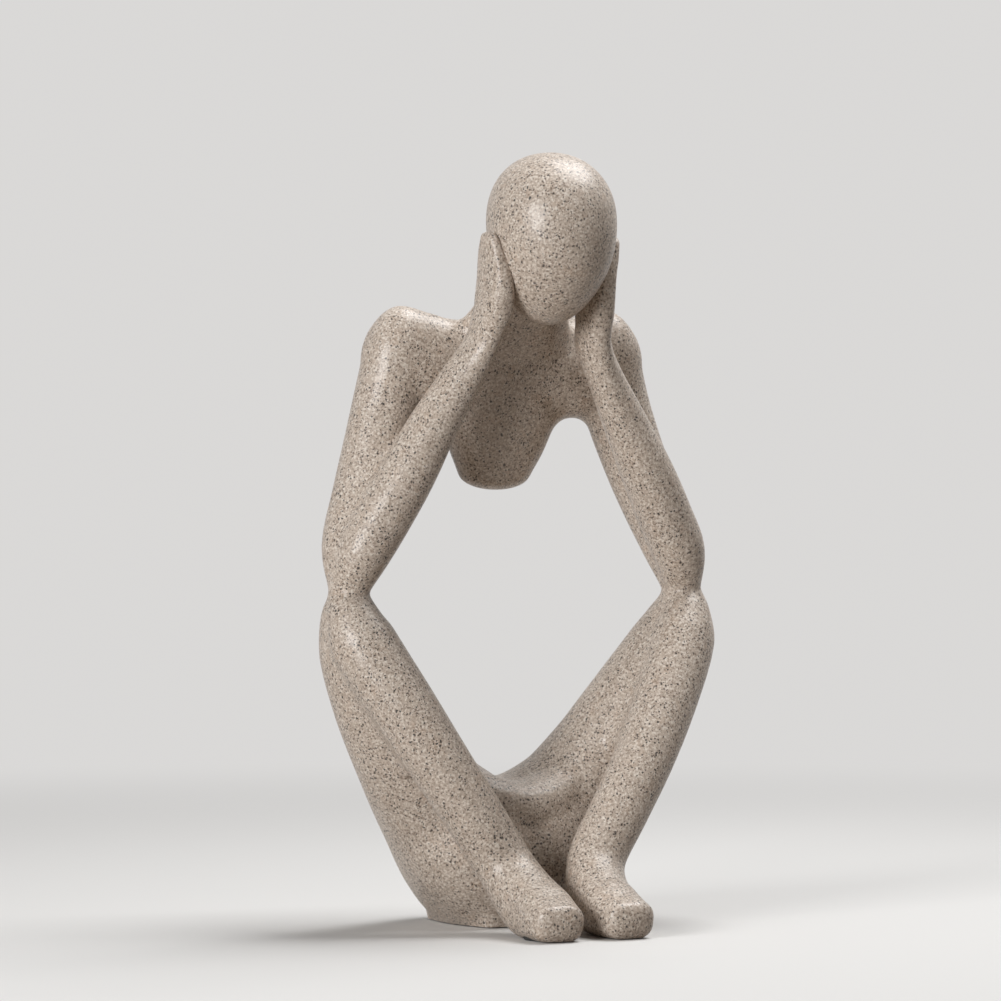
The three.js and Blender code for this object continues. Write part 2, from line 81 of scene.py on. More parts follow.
Step = tuple[str, dict[str, Any]]
Pair = tuple[float, float]
Colour = tuple[float, float, float, float]


class Side(Enum):
    """A side of the figure, as the sign of X."""

    RIGHT = -1
    LEFT = 1

    @property
    def word(self) -> str:
        """The side's name, as the nodes spell it."""
        return self.name.lower()

    def at(self, out: float, back: float, up: float) -> Vector:
        """The point so far out on this side, so far back and so far up."""
        return Vector((self.value * out, back, up))

    def bows(self, out: float, back: float) -> tuple[Vector, Vector]:
        """The full bows of a limb on this side, outwards and backwards."""
        return ACROSS * (self.value * out), BACK * back


@dataclass(frozen=True)
class Row:
    """A place along a limb, as shares of its length, sizes and two bows, and how square it is there."""

    share: float
    wide: float
    deep: float
    out: float = 0.0
    back: float = 0.0
    square: float = 2.0


Rows = tuple[Row, ...]


@dataclass(frozen=True)
class Section:
    """A cross-section of a limb: its centre, its full sizes, its turn in degrees and its squareness."""

    at: Vector
    wide: float
    deep: float
    roll: float = 0.0
    square: float = 2.0


def limb(
    start: Vector,
    end: Vector,
    rows: Rows,
    wide: float,
    deep: float,
    out: Vector = STRAIGHT,
    back: Vector = STRAIGHT,
    roll: float = 0.0,
) -> list[Section]:
    """Lay a limb's sections out between two landmarks.

    Args:
        start: The landmark where the limb begins.
        end: The landmark where it ends.
        rows: How the limb swells and bows on its way.
        wide: Its full width.
        deep: Its full depth.
        out: Its full bow sideways.
        back: Its full bow backwards.
        roll: The turn of its sections about the limb, in degrees.

    Returns:
        The sections in order.
    """
    sections = []
    for row in rows:
        at = start.lerp(end, row.share) + out * row.out + back * row.back
        sections.append(Section(at, wide * row.wide, deep * row.deep, roll, row.square))
    return sections


def on_curve(points: list[Vector], share: float, power: float) -> Vector:
    """Find a point on a smooth curve through some points.

    Args:
        points: The points that the curve goes through.
        share: How far along the curve, from 0 to 1.
        power: SPINE_KNOTS for a spine, whose knots follow its distances, or EVEN_KNOTS.

    Returns:
        The point on the curve.
    """
    last = len(points) - 1
    place = min(max(share, 0.0), 1.0) * last
    first = min(int(place), last - 1)
    part = place - first
    near = points[first]
    far = points[first + 1]
    before = points[first - 1] if first > 0 else near * 2.0 - far
    after = points[first + 2] if first + 2 <= last else far * 2.0 - near
    lead = (near - before).length ** power
    span = (far - near).length ** power
    trail = (after - far).length ** power
    leaving = ((near - before) / lead - (far - before) / (lead + span) + (far - near) / span) * span
    arriving = ((far - near) / span - (after - near) / (span + trail) + (after - far) / trail) * span
    square = part * part
    cube = square * part
    return (
        near * (2.0 * cube - 3.0 * square + 1.0)
        + leaving * (cube - 2.0 * square + part)
        + far * (3.0 * square - 2.0 * cube)
        + arriving * (cube - square)
    )


def once(items: Iterable[Any]) -> list[Any]:
    """List items in their order, each of them once."""
    return list(dict.fromkeys(items))


def of_kind(items: Iterable[Any], kind: type) -> list[Any]:
    """List the items of one kind, in their order."""
    return [item for item in items if isinstance(item, kind)]


@dataclass
class Loft:
    """A limb's closed skin over its sections, with an optional dome at each end.

    Where `stop` is given, the skin ends on the plane through the middle of the figure that it points out of.
    """

    sections: list[Section]
    reference: Vector
    start_dome: float = 0.0
    end_dome: float = 0.0
    stop: Vector | None = None

    def ring(self, share: float, shrink: float = 1.0, shift: float = 0.0) -> tuple[Matrix, float]:
        """Place one ring of the skin.

        Args:
            share: How far along the limb, from 0 to 1.
            shrink: The ring's size, as a share of the section there.
            shift: How far it is moved along the limb.

        Returns:
            The matrix that turns a unit circle into the ring, and the ring's squareness.
        """
        spine = [section.at for section in self.sections]
        sizes = [Vector((s.wide, s.deep, s.roll, s.square)) for s in self.sections]
        ahead = on_curve(spine, share + SPINE_STEP, SPINE_KNOTS)
        along = (ahead - on_curve(spine, share - SPINE_STEP, SPINE_KNOTS)).normalized()
        size = on_curve(sizes, share, EVEN_KNOTS)
        deep_axis = (self.reference - along * self.reference.dot(along)).normalized()
        deep_axis.rotate(Matrix.Rotation(math.radians(size.z), 3, along))
        wide_axis = deep_axis.cross(along)
        centre = on_curve(spine, share, SPINE_KNOTS) + along * shift
        turn = Matrix((wide_axis, deep_axis, along)).transposed().to_4x4()
        scale = Matrix.Diagonal((size.x * shrink / 2.0, size.y * shrink / 2.0, 1.0, 1.0))
        return Matrix.Translation(centre) @ turn @ scale, size.w

    def rings(self) -> list[tuple[Matrix, float]]:
        """Place all rings of the skin.

        Returns:
            The rings, from the start's dome to the end's.
        """
        spans = (len(self.sections) - 1) * RINGS_PER_SPAN
        angles = [step / DOME_RINGS * math.pi / 2.0 for step in range(1, DOME_RINGS)]
        rings = [self.ring(step / spans) for step in range(spans + 1)]
        if self.start_dome > 0.0:
            dome = [self.ring(0.0, math.cos(a), -self.start_dome * math.sin(a)) for a in angles]
            rings = dome[::-1] + rings
        if self.end_dome > 0.0:
            rings += [self.ring(1.0, math.cos(a), self.end_dome * math.sin(a)) for a in angles]
        return rings

    def part(self, count: int) -> Loft:
        """The loft over the first sections alone, which ends inside the whole of it."""
        return Loft(self.sections[:count], self.reference, self.start_dome)

    def add_to(self, bm: BMesh) -> None:
        """Build the skin in a mesh: circles that are bridged one to the next and closed at the ends.

        Args:
            bm: The mesh that takes the skin, in millimetres.
        """
        loops = []
        for matrix, square in self.rings():
            made = bmesh.ops.create_circle(bm, cap_ends=False, segments=RING_SIDES, radius=1.0)
            for vert in made["verts"]:
                vert.co.x = math.copysign(abs(vert.co.x) ** (2.0 / square), vert.co.x)
                vert.co.y = math.copysign(abs(vert.co.y) ** (2.0 / square), vert.co.y)
            bmesh.ops.transform(bm, matrix=matrix, verts=made["verts"])
            loops.append(once(e for v in made["verts"] for e in v.link_edges))
        for near, far in zip(loops, loops[1:]):
            bmesh.ops.bridge_loops(bm, edges=near + far)
        bmesh.ops.edgeloop_fill(bm, edges=loops[0])
        bmesh.ops.edgeloop_fill(bm, edges=loops[-1])
        if self.stop is not None:
            verts = once(v for loop in loops for e in loop for v in e.verts)
            edges = once(e for v in verts for e in v.link_edges)
            faces = once(f for v in verts for f in v.link_faces)
            made = bmesh.ops.bisect_plane(
                bm, geom=verts + edges + faces, plane_co=STRAIGHT, plane_no=self.stop, clear_outer=True
            )
            bmesh.ops.edgeloop_fill(bm, edges=of_kind(made["geom_cut"], BMEdge))


def finished_mesh(bm: BMesh, name: str, scale: float = 1.0) -> Mesh:
    """Close a bmesh into a mesh with outward normals.

    Args:
        bm: The bmesh, which is freed.
        name: The mesh's name.
        scale: What its sizes are multiplied by on the way.

    Returns:
        The mesh.
    """
    bmesh.ops.scale(bm, vec=Vector((scale, scale, scale)), verts=bm.verts[:])
    bmesh.ops.remove_doubles(bm, verts=bm.verts[:], dist=WELD)
    bmesh.ops.recalc_face_normals(bm, faces=bm.faces[:])
    mesh = bpy.data.meshes.new(name)
    bm.to_mesh(mesh)
    bm.free()
    return mesh


def placed(name: str, data: Any) -> Object:
    """Put a mesh, a lamp or a camera in the scene.

    Args:
        name: The object's name.
        data: What the object shows.

    Returns:
        The object.
    """
    made = bpy.data.objects.new(name, data)
    bpy.context.scene.collection.objects.link(made)
    return made


def dressed(name: str, mesh: Mesh, finish: Material) -> Object:
    """Give a mesh its finish and smooth shading, and put it in the scene.

    Args:
        name: The object's name.
        mesh: The mesh.
        finish: Its material.

    Returns:
        The object.
    """
    mesh.materials.clear()
    mesh.materials.append(finish)
    mesh.shade_smooth()
    mesh.set_sharp_from_angle(angle=SHARP_EDGE)
    LOG.info("%s: %d faces", name, len(mesh.polygons))
    return placed(name, mesh)


def worked(mesh: Mesh, steps: list[Step]) -> Mesh:
    """Run a mesh through a stack of modifiers.

    Args:
        mesh: The mesh to start from, which is removed.
        steps: Each modifier's type and settings.

    Returns:
        The result as a mesh of its own.
    """
    name = mesh.name
    bench = placed("bench", mesh)
    for kind, settings in steps:
        modifier = bench.modifiers.new(kind.lower(), kind)
        for key, value in settings.items():
            setattr(modifier, key, value)
    graph = bpy.context.evaluated_depsgraph_get()
    result = bpy.data.meshes.new_from_object(bench.evaluated_get(graph))
    bpy.data.objects.remove(bench)
    bpy.data.meshes.remove(mesh)
    result.name = name
    return result


def carved(mesh: Mesh, cutters: list[Mesh]) -> Mesh:
    """Cut shapes out of a closed mesh.

    Args:
        mesh: The mesh to cut, which is removed.
        cutters: The shapes to cut out of it one after the other, which are removed.

    Returns:
        What is left of the mesh.
    """
    tools = [placed("cutter", cutter) for cutter in cutters]
    cuts = [{"operation": "DIFFERENCE", "solver": "EXACT", "object": tool} for tool in tools]
    result = worked(mesh, [("BOOLEAN", cut) for cut in cuts])
    for tool in tools:
        shape = tool.data
        bpy.data.objects.remove(tool)
        bpy.data.meshes.remove(shape)
    return result


@dataclass(frozen=True)
class Dowel:
    """A steel pin between two castings, and the room in its hole, in millimetres."""

    middle: Vector
    along: Vector
    diameter: float
    length: float
    fit: float = 0.15
    end_room: float = 0.3

    def bore(self) -> Mesh:
        """Shape the hole that takes the pin.

        Returns:
            The hole, in metres.
        """
        bm = bmesh.new()
        radius = self.diameter / 2.0 + self.fit
        place = Matrix.Translation(self.middle) @ self.along.to_track_quat("Z", "Y").to_matrix().to_4x4()
        size = {"radius1": radius, "radius2": radius, "depth": self.length + 2.0 * self.end_room}
        bmesh.ops.create_cone(bm, cap_ends=True, segments=BORE_SIDES, matrix=place, **size)
        return finished_mesh(bm, "bore", MM)


@dataclass(frozen=True)
class Pad:
    """An oval pad in a shallow recess under the figure, in millimetres."""

    node: str
    middle: Vector
    wide: float
    long: float
    turn: float = 0.0
    thick: float = 1.5
    room: float = 0.3
    edge: float = 0.35
    below: float = 2.0

    def oval(self, low: float, high: float, grow: float, edge: float) -> Mesh:
        """Shape a flat oval.

        Args:
            low: Its underside.
            high: Its top.
            grow: What is added all round.
            edge: The radius of its edges, or 0.

        Returns:
            The oval, in metres.
        """
        bm = bmesh.new()
        bmesh.ops.create_circle(bm, cap_ends=True, segments=OVAL_SIDES, radius=1.0)
        size = (self.wide / 2.0 + grow, self.long / 2.0 + grow, 1.0, 1.0)
        place = Matrix.Translation((self.middle.x, self.middle.y, low)) @ Matrix.Rotation(self.turn, 4, "Z")
        bmesh.ops.transform(bm, matrix=place @ Matrix.Diagonal(size), verts=bm.verts[:])
        raised = bmesh.ops.extrude_face_region(bm, geom=bm.faces[:])
        top = of_kind(raised["geom"], BMVert)
        bmesh.ops.translate(bm, vec=UP * (high - low), verts=top)
        if edge > 0.0:
            rims = [line for line in bm.edges if abs(line.verts[0].co.z - line.verts[1].co.z) < TINY]
            bmesh.ops.bevel(
                bm, geom=rims, offset=edge, affect="EDGES", segments=EDGE_STEPS, profile=0.5, material=-1
            )
        return finished_mesh(bm, self.node, MM)

    def recess(self) -> Mesh:
        """Shape the recess that takes the pad."""
        return self.oval(-self.below, self.thick + self.room, self.room, 0.0)

    def piece(self, finish: Material) -> None:
        """Make the pad and put it in its node's place.

        Args:
            finish: The pad's material.
        """
        made = dressed(f"{self.node}_disc", self.oval(0.0, self.thick, 0.0, self.edge), finish)
        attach(made, "root")
        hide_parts(self.node)


@dataclass(frozen=True)
class Melt:
    """How a form's lofts are melted together: the grain of the skin in millimetres, and its smoothing."""

    voxel: float = 0.7
    smoothing: int = 3
    softness: float = 0.5

    def remesh(self) -> list[Step]:
        """The steps that give a mesh one even skin."""
        skin = {"mode": "VOXEL", "voxel_size": self.voxel * MM, "adaptivity": 0.0}
        return [("REMESH", skin), ("SMOOTH", {"factor": self.softness, "iterations": self.smoothing})]

    def filleted(self, fillet: float) -> list[Step]:
        """List the steps that close every crease of a mesh.

        Args:
            fillet: The radius of the fillets, or 0 for an even skin alone.

        Returns:
            The steps.
        """
        if fillet <= 0.0:
            return self.remesh()
        swell = [("DISPLACE", {"strength": fillet * MM, "mid_level": 0.0})]
        shrink = [("DISPLACE", {"strength": -fillet * MM, "mid_level": 0.0})]
        return self.remesh() + swell + self.remesh() + shrink + self.remesh()

    def fused(self, lofts: list[Loft], name: str, fillet: float = 0.0) -> Mesh:
        """Melt lofts into one skin with a fillet in every crease.

        Args:
            lofts: The lofts, which overlap where they join.
            name: The mesh's name.
            fillet: The radius of the fillets, or 0.

        Returns:
            The skin, in metres.
        """
        bm = bmesh.new()
        for loft in lofts:
            loft.add_to(bm)
        return worked(finished_mesh(bm, name, MM), self.filleted(fillet))

    def joined(self, meshes: list[Mesh], name: str, fillet: float = 0.0) -> Mesh:
        """Melt finished skins into one.

        Args:
            meshes: The skins, which are removed.
            name: The new mesh's name.
            fillet: The radius of the fillets where they meet, or 0.

        Returns:
            The joint skin.
        """
        bm = bmesh.new()
        for mesh in meshes:
            bm.from_mesh(mesh)
            bpy.data.meshes.remove(mesh)
        return worked(finished_mesh(bm, name), self.filleted(fillet))


@dataclass(frozen=True)
class Seam:
    """A glue line: a plane, and the box in which it cuts, in millimetres."""

    point: Vector
    normal: Vector
    low: Vector
    high: Vector

    @classmethod
    def upright(cls, side: Side, out: float, front: float, bottom: float, top: float) -> Seam:
        """Lay an upright glue line across one side of the figure.

        Args:
            side: The side.
            out: How far out the plane lies.
            front: Where its box begins at the front.
            bottom: The bottom of its box.
            top: The top of its box.

        Returns:
            The glue line.
        """
        reach = side.value * SEAM_OUT
        low = Vector((min(reach, 0.0), front, bottom))
        high = Vector((max(reach, 0.0), SEAM_BACK, top))
        return cls(side.at(out, 0.0, 0.0), ACROSS, low, high)

    @classmethod
    def level(cls, up: float, bottom: float, top: float) -> Seam:
        """Lay a level glue line through the figure, so far up, with a box between a bottom and a top."""
        low = Vector((-LEVEL_REACH, -LEVEL_REACH, bottom))
        return cls(UP * up, UP, low, Vector((LEVEL_REACH, LEVEL_REACH, top)))

    def cut(self, bm: BMesh) -> None:
        """Cut a closed skin in metres along the plane, and close both sides of the cut.

        Args:
            bm: The skin.
        """
        low = self.low * MM
        high = self.high * MM
        faces = []
        for face in bm.faces:
            middle = face.calc_center_median()
            if all(low[axis] < middle[axis] < high[axis] for axis in range(3)):
                faces.append(face)
        edges = once(edge for face in faces for edge in face.edges)
        verts = once(vert for face in faces for vert in face.verts)
        made = bmesh.ops.bisect_plane(
            bm, geom=verts + edges + faces, dist=WELD, plane_co=self.point * MM, plane_no=self.normal
        )
        bmesh.ops.split_edges(bm, edges=of_kind(made["geom_cut"], BMEdge))
        rims = [edge for edge in bm.edges if edge.is_boundary]
        caps = bmesh.ops.holes_fill(bm, edges=rims, sides=0)
        bmesh.ops.triangulate(bm, faces=caps["faces"])


def islands(bm: BMesh) -> list[list[BMFace]]:
    """Sort a mesh's faces into its loose parts.

    Args:
        bm: The mesh.

    Returns:
        The faces of each part.
    """
    seen: set[int] = set()
    parts = []
    bm.faces.index_update()
    for first in bm.faces:
        if first.index in seen:
            continue
        seen.add(first.index)
        part = [first]
        for face in part:
            for edge in face.edges:
                for other in edge.link_faces:
                    if other.index not in seen:
                        seen.add(other.index)
                        part.append(other)
        parts.append(part)
    return parts


@dataclass
class Head:
    """The smooth egg of the head, with its narrow end at the chin."""

    width: float = 42.5
    depth: float = 48.0
    crown_rise: float = 23.8
    chin_drop: float = 33.5
    tilt: float = 6.0
    crown_fullness: float = 2.15
    chin_taper: float = 0.1
    crown_bow: float = 2.2
    chin_bow: float = 4.0
    room: float = 0.1
    middle: Vector = Vector((0.0, -17.2, 236.2))

    def egg(self, grow: float = 0.0) -> Mesh:
        """Shape an even sphere into the egg.

        Args:
            grow: What is added on every side.

        Returns:
            The egg, in metres.
        """
        bm = bmesh.new()
        bmesh.ops.create_icosphere(bm, subdivisions=EGG_SUBDIVISIONS, radius=1.0)
        for vert in bm.verts:
            rise = vert.co.z
            level = math.hypot(vert.co.x, vert.co.y)
            crown = max(1.0 - abs(rise) ** self.crown_fullness, 0.0) ** (1.0 / self.crown_fullness)
            chin = level * (1.0 - self.chin_taper * abs(rise) ** 3)
            around = (crown if rise > 0.0 else chin) / max(level, TINY)
            tall = self.crown_rise if rise > 0.0 else self.chin_drop
            bow = self.crown_bow if rise > 0.0 else self.chin_bow
            vert.co.x *= around * (self.width / 2.0 + grow)
            vert.co.y *= around * (self.depth / 2.0 + grow)
            vert.co.y += bow * rise * rise
            vert.co.z *= tall + grow
        lean = Matrix.Rotation(-math.radians(self.tilt), 4, "X")
        bmesh.ops.transform(bm, matrix=Matrix.Translation(self.middle) @ lean, verts=bm.verts[:])
        return finished_mesh(bm, "head_egg", MM)


@dataclass
class Elbow:
    """The waist where an elbow stands on a knee."""

    out: float = 62.8
    back: float = 8.0
    up: float = 113.0
    wide: float = 12.6
    deep: float = 13.6

    def middle(self, side: Side) -> Vector:
        """The waist's centre."""
        return side.at(self.out, self.back, self.up)

    def limb(self, side: Side, way: float, end: Vector, rows: Rows, *shape: Any) -> list[Section]:
        """Carry a limb straight through the waist and on to another landmark.

        Args:
            side: The side of the figure.
            way: -1 for an arm, which starts below the waist, and 1 for a leg.
            end: The landmark where the limb ends.
            rows: How the limb swells and bows on its way.
            shape: Its full sizes, its full bows and its turn, as for other limbs.

        Returns:
            The sections: one beyond the waist, one at it, and the limb's own.
        """
        at = self.middle(side)
        beyond = at + UP * (way * self.deep / 2.0)
        waist = [Section(beyond, self.wide, self.deep), Section(at, self.wide, self.deep)]
        return waist + limb(at, end, rows, *shape)

    def seam(self) -> Seam:
        """The glue line through both waists."""
        return Seam.level(self.up, bottom=90.0, top=140.0)


@dataclass
class Torso:
    """The chest with its shoulders, the neck, and the tongue that hangs below."""

    shoulder_out: float = 39.5
    shoulder_back: float = 19.5
    shoulder_top: float = 210.0
    shoulder_tall: float = 32.0
    shoulder_deep: float = 24.0
    shoulder_round: float = 12.0
    collar_top: float = 204.5
    armpit_up: float = 176.0
    collar_sag: float = 2.5
    chest_back: float = 19.5
    chest_deep: float = 26.0
    tongue_wide: float = 47.0
    tip_up: float = 147.5
    tip_back: float = 26.5
    tip_round: float = 6.0
    neck_wide: float = 23.0
    neck_deep: float = 18.0
    joint_out: float = 27.0
    yoke_rows: Rows = (
        Row(0.0, 1.0, 1.0),
        Row(0.25, 1.11, 1.02, 1.3),
        Row(0.5, 0.99, 1.04, 1.0),
    )
    tongue_rows: Rows = (
        Row(0.0, 0.9, 1.0),
        Row(0.42, 1.0, 1.0),
        Row(0.57, 0.86, 0.97),
        Row(0.8, 0.73, 0.85),
        Row(1.0, 0.575, 0.66),
    )
    neck_rows: Rows = (
        Row(0.0, 2.1, 1.2),
        Row(0.2, 1.9, 1.1),
        Row(0.37, 1.55, 1.0),
        Row(0.55, 1.15, 1.0),
        Row(0.8, 1.05, 1.0),
    )

    def chest(self) -> Vector:
        """The middle of the chest."""
        return Vector((0.0, self.chest_back, (self.collar_top + self.armpit_up) / 2.0))

    def shoulder(self, side: Side) -> Vector:
        """The middle of a shoulder."""
        return side.at(self.shoulder_out, self.shoulder_back, self.shoulder_top - self.shoulder_tall / 2.0)

    def yoke(self) -> Loft:
        """Shape the chest and shoulders.

        Returns:
            The loft, from one shoulder across to the other.
        """
        sag = UP * -self.collar_sag
        halves = []
        for side in Side:
            ends = (self.shoulder(side), self.chest())
            halves.append(limb(*ends, self.yoke_rows, self.shoulder_tall, self.shoulder_deep, sag))
        middle = Section(self.chest(), self.collar_top - self.armpit_up, self.chest_deep)
        sections = halves[0] + [middle] + halves[1][::-1]
        return Loft(sections, BACK, self.shoulder_round, self.shoulder_round)

    def tongue(self) -> Loft:
        """Shape the free-hanging torso.

        Returns:
            The loft, from the chest down to its rounded tip.
        """
        tip = Vector((0.0, self.tip_back, self.tip_up + self.tip_round))
        sections = limb(self.chest(), tip, self.tongue_rows, self.tongue_wide, self.chest_deep)
        return Loft(sections, BACK, 0.0, self.tip_round)

    def neck(self, head: Head) -> Loft:
        """The neck, from the chest forward and up into the head."""
        sections = limb(self.chest(), head.middle, self.neck_rows, self.neck_wide, self.neck_deep)
        return Loft(sections, BACK)

    def seam(self, side: Side) -> Seam:
        """The glue line between the torso and an arm."""
        return Seam.upright(side, self.joint_out, front=5.5, bottom=150.0, top=230.0)


@dataclass
class Arm:
    """An upper arm, and a forearm with its flat hand."""

    upper_wide: float = 22.5
    upper_deep: float = 22.0
    upper_bow_out: float = 2.5
    upper_bow_back: float = 3.0
    fore_wide: float = 18.8
    fore_deep: float = 20.0
    fore_bow_out: float = 3.0
    fore_bow_back: float = 2.0
    fore_roll: float = 18.0
    wrist_out: float = 21.0
    wrist_below_head: float = 40.0
    wrist_behind_head: float = 10.2
    fingers_out: float = 22.6
    fingers_behind_head: float = 0.4
    hand_long: float = 34.3
    hand_bow_in: float = 2.8
    hand_bow_front: float = 1.4
    hand_wide: float = 15.0
    finger_thick: float = 5.5
    finger_round: float = 2.5
    upper_rows: Rows = (
        Row(0.18, 0.86, 0.86, 0.8, 0.5),
        Row(0.4, 0.95, 0.95, 0.2, 0.9),
        Row(0.6, 1.0, 1.0, -0.25, 1.0),
        Row(0.8, 1.04, 1.0, -0.4, 0.8),
    )
    fore_rows: Rows = (
        Row(0.16, 0.95, 0.92, 1.12, -1.1),
        Row(0.3, 1.0, 0.98, 1.0, -1.0),
        Row(0.48, 0.96, 1.0, 0.78, -0.8),
        Row(0.67, 0.82, 0.92, 0.55, 0.0),
        Row(0.85, 0.67, 0.82, 0.15, 0.2),
    )
    hand_rows: Rows = (
        Row(0.0, 1.9, 1.15),
        Row(0.2, 1.75, 1.17, 0.6, 0.5, 2.3),
        Row(0.39, 1.82, 1.27, 1.0, 1.0, 2.7),
        Row(0.66, 1.45, 1.2, 0.9, 0.6, 2.8),
        Row(0.86, 1.09, 0.95, 0.35, 0.2, 2.6),
        Row(1.0, 0.8, 0.67, 0.0, 0.0, 2.4),
    )

    def upper(self, side: Side, elbow: Elbow, torso: Torso) -> Loft:
        """Shape the upper arm.

        Args:
            side: The side of the figure.
            elbow: The waist where the arm starts.
            torso: The torso that it joins.

        Returns:
            The loft, from the elbow up to the round of the shoulder.
        """
        bows = side.bows(self.upper_bow_out, self.upper_bow_back)
        end = torso.shoulder(side)
        sections = elbow.limb(side, -1.0, end, self.upper_rows, self.upper_wide, self.upper_deep, *bows)
        sections.append(Section(end, self.upper_wide, torso.shoulder_deep))
        return Loft(sections, BACK, 0.0, torso.shoulder_tall / 2.0)

    def fore(self, side: Side, elbow: Elbow, head: Head) -> Loft:
        """Shape the forearm and its hand.

        Args:
            side: The side of the figure.
            elbow: The waist where the arm starts.
            head: The head that the hand holds.

        Returns:
            The loft, from the elbow to the finger tips.
        """
        up = head.middle.z - self.wrist_below_head
        wrist = side.at(self.wrist_out, head.middle.y + self.wrist_behind_head, up)
        tips = side.at(self.fingers_out, head.middle.y + self.fingers_behind_head, up + self.hand_long)
        bows = side.bows(self.fore_bow_out, self.fore_bow_back)
        shape = (self.fore_wide, self.fore_deep, *bows, -side.value * self.fore_roll)
        sections = elbow.limb(side, -1.0, wrist, self.fore_rows, *shape)
        bows = side.bows(-self.hand_bow_in, -self.hand_bow_front)
        sections += limb(wrist, tips, self.hand_rows, self.finger_thick, self.hand_wide, *bows)
        return Loft(sections, BACK, 0.0, self.finger_round)


@dataclass
class Leg:
    """A thigh with its half of the seat, and a shin with its foot."""

    thigh_wide: float = 35.0
    thigh_deep: float = 33.0
    thigh_bow_out: float = 6.5
    thigh_bow_back: float = 1.5
    hip_out: float = 13.0
    hip_back: float = 23.0
    hip_up: float = 27.2
    seat_top: float = 49.5
    seat_tall: float = 57.5
    seat_back: float = 52.5
    seat_deep: float = 56.0
    seat_beyond_up: float = 17.5
    seat_square: float = 2.4
    pelvis_tall: float = 75.0
    pelvis_deep: float = 46.0
    pelvis_back: float = 22.5
    ridge_back: float = 8.5
    ridge_up: float = 39.4
    ridge_tall: float = 19.0
    ridge_deep: float = 25.0
    ridge_out: float = 20.0
    ridge_sweep: float = 6.0
    shin_wide: float = 21.5
    shin_deep: float = 21.5
    shin_bow_out: float = 5.0
    shin_bow_back: float = 2.0
    ankle_out: float = 14.0
    ankle_forward: float = 19.0
    ankle_up: float = 18.0
    toe_out: float = 13.1
    toe_up: float = 6.0
    toe_front: float = 52.5
    toe_round: float = 3.5
    foot_tall: float = 13.5
    foot_wide: float = 20.5
    instep_sag: float = 4.0
    instep_in: float = 1.0
    base_up: float = 0.4
    joint_out: float = 16.0
    seam_past: float = 2.0
    seam_bottom: float = -20.0
    seam_top: float = 70.0
    heel_front: float = -6.5
    heel_room: float = 8.0
    pin_shift: float = 9.0
    seat_pad_inset: float = 4.5
    foot_pad_inset: float = 9.0
    foot_pad_share: float = 0.62
    thigh_rows: Rows = (
        Row(0.083, 0.52, 0.62, 0.55, 0.0),
        Row(0.214, 0.73, 0.8, 0.97, 0.0),
        Row(0.417, 0.92, 0.92, 1.1, -0.6),
        Row(0.643, 1.05, 1.05, 1.0, -1.0),
        Row(0.845, 1.13, 1.25, 0.65, 0.0, 2.2),
        Row(1.0, 1.34, 1.62, 0.0, -1.0, 2.5),
    )
    shin_rows: Rows = (
        Row(0.08, 0.8, 0.82, 0.7, -0.5),
        Row(0.17, 1.0, 1.05, 1.1, -0.65),
        Row(0.39, 1.02, 1.02, 1.05, -1.6),
        Row(0.6, 0.97, 0.96, 0.8, -1.5),
        Row(0.78, 0.92, 0.92, 0.4, -0.6),
        Row(0.95, 0.86, 0.92, 0.1, 0.5),
    )
    foot_rows: Rows = (
        Row(0.28, 1.6, 0.98, 0.7, 0.87, 2.3),
        Row(0.58, 1.38, 0.97, 1.0, 0.61, 2.5),
        Row(0.8, 1.13, 0.94, 0.5, 0.35, 2.6),
        Row(1.0, 0.96, 0.85, 0.0, 0.0, 2.8),
    )

    def hip(self, side: Side) -> Vector:
        """The middle of a hip."""
        return side.at(self.hip_out, self.hip_back, self.hip_up)

    def seat_middle(self) -> Vector:
        """The middle of the seat."""
        depth = self.seat_back - self.seat_deep / 2.0
        return Vector((0.0, depth, self.seat_top - self.seat_tall / 2.0))

    def ankle(self, side: Side) -> Vector:
        """The middle of an ankle."""
        return side.at(self.ankle_out, -self.ankle_forward, self.ankle_up)

    def toe(self, side: Side) -> Vector:
        """The middle of the toes' last section."""
        return side.at(self.toe_out, self.toe_round - self.toe_front, self.toe_up)

    def thigh(self, side: Side, elbow: Elbow) -> Loft:
        """Shape the thigh.

        Args:
            side: The side of the figure.
            elbow: The waist where the leg starts.

        Returns:
            The loft, from the knee down into the middle of the seat.
        """
        bows = side.bows(self.thigh_bow_out, self.thigh_bow_back)
        shape = (self.thigh_wide, self.thigh_deep, *bows)
        sections = elbow.limb(side, 1.0, self.hip(side), self.thigh_rows, *shape)
        beyond = side.at(-self.hip_out, self.seat_middle().y, self.seat_beyond_up)
        for place in (self.seat_middle(), beyond):
            sections.append(Section(place, self.seat_tall, self.seat_deep, square=self.seat_square))
        return Loft(sections, BACK, stop=ACROSS * -side.value)

    def across(self, middle: Section, left: Section) -> Loft:
        """The loft over a middle section and its two ends, of which the right one mirrors the left one."""
        right = Section(Vector((-left.at.x, left.at.y, left.at.z)), left.wide, left.deep)
        return Loft([right, middle, left], BACK)

    def pelvis(self) -> Loft:
        """Shape the saddle of the pelvis.

        Returns:
            The loft, from one hip across to the other.
        """
        middle = Section(self.seat_middle(), self.seat_tall, self.seat_deep, square=self.seat_square)
        left = Vector((self.joint_out, self.pelvis_back, self.seat_middle().z))
        return self.across(middle, Section(left, self.pelvis_tall, self.pelvis_deep))

    def ridge(self) -> Loft:
        """Shape the ridge along the front of the saddle.

        Returns:
            The loft, from one thigh across to the other.
        """
        at = Vector((0.0, self.ridge_back, self.ridge_up))
        middle = Section(at, self.ridge_tall, self.ridge_deep, square=self.seat_square)
        left = at + Vector((self.ridge_out, self.ridge_sweep, self.ridge_sweep))
        return self.across(middle, Section(left, self.ridge_tall, self.ridge_deep))

